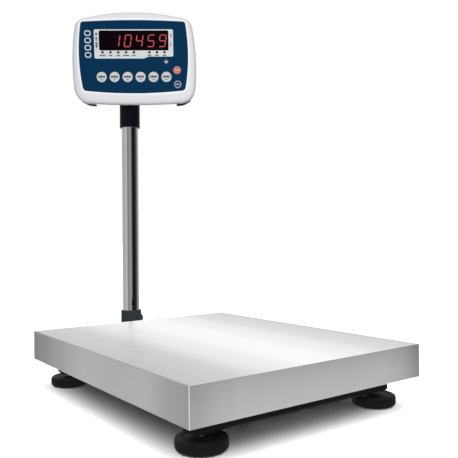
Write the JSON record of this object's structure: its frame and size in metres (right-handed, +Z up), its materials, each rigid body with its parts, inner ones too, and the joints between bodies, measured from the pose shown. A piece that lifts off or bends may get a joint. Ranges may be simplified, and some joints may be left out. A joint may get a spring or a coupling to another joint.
{
  "type": "bench scale",
  "caption": "Bench scale: low stainless platform on a load cell frame with levelling feet, and a swivelling, tilting LED indicator on a rear column.",
  "frame": {"origin": "on the floor, at the centre of the whole object's bounding box", "axes": "+X to the operator's right across the platform, +Y from the operator towards the column, +Z up"},
  "size_m": [0.42, 0.596, 0.7076],
  "materials": {
    "stainless": "fine brushed stainless sheet, satin",
    "chrome": "polished tube",
    "zinc": "zinc-plated, satin",
    "black_steel": "black powder coat",
    "cell_alloy": "machined aluminium",
    "black_plastic": "moulded, fine texture",
    "rubber": "matte moulded rubber",
    "white_plastic": "moulded ABS, soft gloss",
    "blue_panel": "printed polyester film, fine texture",
    "white_key": "printed film key, satin",
    "red_key": "printed film key, satin",
    "dark_key": "printed film key, satin",
    "window": "dark red acrylic, gloss",
    "circuit": "solder mask over glass-fibre board",
    "level_glass": "clear acrylic vial with green fluid",
    "battery_wrap": "shrink-wrapped cells"
  },
  "bodies": {
    "base": {"base_frame": "black_steel", "load_cell": "cell_alloy", "lower_spacer": "zinc", "lower_cell_bolt_1": "zinc", "lower_cell_bolt_2": "zinc", "overload_stop_1": "zinc", "overload_stop_2": "zinc", "overload_stop_3": "zinc", "overload_stop_4": "zinc", "level_cup": "black_plastic", "level_vial": "level_glass", "column_bracket": "black_steel", "bracket_bolt_1": "zinc", "bracket_bolt_2": "zinc", "column_socket": "black_plastic", "socket_screw": "zinc", "column_tube": "chrome", "cell_cable": "black_plastic"},
    "foot_pad_1": {"foot_pad_1": "rubber"},
    "foot_stud_1": {"foot_stud_1": "zinc"},
    "foot_pad_2": {"foot_pad_2": "rubber"},
    "foot_stud_2": {"foot_stud_2": "zinc"},
    "foot_pad_3": {"foot_pad_3": "rubber"},
    "foot_stud_3": {"foot_stud_3": "zinc"},
    "foot_pad_4": {"foot_pad_4": "rubber"},
    "foot_stud_4": {"foot_stud_4": "zinc"},
    "deck": {"upper_frame": "black_steel", "upper_spacer": "zinc", "upper_cell_bolt_1": "zinc", "upper_cell_bolt_2": "zinc", "pan_rest_1": "rubber", "pan_rest_2": "rubber", "pan_rest_3": "rubber", "pan_rest_4": "rubber"},
    "pan": {"pan": "stainless"},
    "head": {"swivel_collar": "black_plastic", "pivot_bolt": "zinc", "pivot_nut": "zinc", "cable_whip": "black_plastic"},
    "indicator": {"tilt_bracket": "zinc", "cable_gland": "black_plastic", "rear_cover": "white_plastic", "front_cover": "white_plastic", "housing_gasket": "rubber", "indicator_foot_1": "rubber", "indicator_foot_2": "rubber", "keypad_overlay": "blue_panel", "display_window": "window", "display_module": "window", "main_board": "circuit", "battery": "battery_wrap", "battery_door": "white_plastic"},
    "key_1": {"key_1": "white_key"},
    "key_2": {"key_2": "white_key"},
    "key_3": {"key_3": "white_key"},
    "key_4": {"key_4": "white_key"},
    "key_5": {"key_5": "white_key"},
    "key_6": {"key_6": "white_key"},
    "key_clear": {"key_clear": "red_key"},
    "key_power": {"key_power": "dark_key"}
  },
  "joints": [
    {"name": "foot_height_1", "type": "slide", "parent": "base", "child": "foot_pad_1", "axis": [0, 0, 1], "range_m": [-0.012, 0.003]},
    {"name": "stud_turn_1", "type": "hinge", "parent": "foot_pad_1", "child": "foot_stud_1", "pos_m": [-0.16, -0.248, 0.006], "axis": [0, 0, 1], "range_deg": [-2880, 720]},
    {"name": "foot_height_2", "type": "slide", "parent": "base", "child": "foot_pad_2", "axis": [0, 0, 1], "range_m": [-0.012, 0.003]},
    {"name": "stud_turn_2", "type": "hinge", "parent": "foot_pad_2", "child": "foot_stud_2", "pos_m": [0.16, -0.248, 0.006], "axis": [0, 0, 1], "range_deg": [-2880, 720]},
    {"name": "foot_height_3", "type": "slide", "parent": "base", "child": "foot_pad_3", "axis": [0, 0, 1], "range_m": [-0.012, 0.003]},
    {"name": "stud_turn_3", "type": "hinge", "parent": "foot_pad_3", "child": "foot_stud_3", "pos_m": [-0.16, 0.172, 0.006], "axis": [0, 0, 1], "range_deg": [-2880, 720]},
    {"name": "foot_height_4", "type": "slide", "parent": "base", "child": "foot_pad_4", "axis": [0, 0, 1], "range_m": [-0.012, 0.003]},
    {"name": "stud_turn_4", "type": "hinge", "parent": "foot_pad_4", "child": "foot_stud_4", "pos_m": [0.16, 0.172, 0.006], "axis": [0, 0, 1], "range_deg": [-2880, 720]},
    {"name": "weighing", "type": "slide", "parent": "base", "child": "deck", "axis": [0, 0, -1], "range_m": [0, 0.0006], "stiffness_N_per_m": 300000, "springref_m": -0.0002, "deforming": ["load_cell"]},
    {"name": "pan_lift", "type": "slide", "parent": "deck", "child": "pan", "axis": [0, 0, 1], "range_m": [0, 0.12]},
    {"name": "head_swivel", "type": "hinge", "parent": "base", "child": "head", "pos_m": [0, 0.248, 0.489], "axis": [0, 0, 1], "range_deg": [-65, 135]},
    {"name": "indicator_tilt", "type": "hinge", "parent": "head", "child": "indicator", "pos_m": [0, 0.248, 0.59], "axis": [-0.8192, 0.5736, 0], "range_deg": [-2, 53], "deforming": ["cable_whip"]},
    {"name": "key_1_press", "type": "slide", "parent": "indicator", "child": "key_1", "axis": [0.568, 0.8112, 0.1392], "range_m": [0, 0.0005], "stiffness_N_per_m": 400, "springref_m": -0.002},
    {"name": "key_2_press", "type": "slide", "parent": "indicator", "child": "key_2", "axis": [0.568, 0.8112, 0.1392], "range_m": [0, 0.0005], "stiffness_N_per_m": 400, "springref_m": -0.002},
    {"name": "key_3_press", "type": "slide", "parent": "indicator", "child": "key_3", "axis": [0.568, 0.8112, 0.1392], "range_m": [0, 0.0005], "stiffness_N_per_m": 400, "springref_m": -0.002},
    {"name": "key_4_press", "type": "slide", "parent": "indicator", "child": "key_4", "axis": [0.568, 0.8112, 0.1392], "range_m": [0, 0.0005], "stiffness_N_per_m": 400, "springref_m": -0.002},
    {"name": "key_5_press", "type": "slide", "parent": "indicator", "child": "key_5", "axis": [0.568, 0.8112, 0.1392], "range_m": [0, 0.0005], "stiffness_N_per_m": 400, "springref_m": -0.002},
    {"name": "key_6_press", "type": "slide", "parent": "indicator", "child": "key_6", "axis": [0.568, 0.8112, 0.1392], "range_m": [0, 0.0005], "stiffness_N_per_m": 400, "springref_m": -0.002},
    {"name": "key_clear_press", "type": "slide", "parent": "indicator", "child": "key_clear", "axis": [0.568, 0.8112, 0.1392], "range_m": [0, 0.0005], "stiffness_N_per_m": 400, "springref_m": -0.002},
    {"name": "key_power_press", "type": "slide", "parent": "indicator", "child": "key_power", "axis": [0.568, 0.8112, 0.1392], "range_m": [0, 0.0005], "stiffness_N_per_m": 400, "springref_m": -0.002}
  ],
  "couplings": [
    {"joint": "stud_turn_1", "follows": "foot_height_1", "rad_per_m": 4188.8},
    {"joint": "stud_turn_2", "follows": "foot_height_2", "rad_per_m": 4188.8},
    {"joint": "stud_turn_3", "follows": "foot_height_3", "rad_per_m": 4188.8},
    {"joint": "stud_turn_4", "follows": "foot_height_4", "rad_per_m": 4188.8}
  ]
}
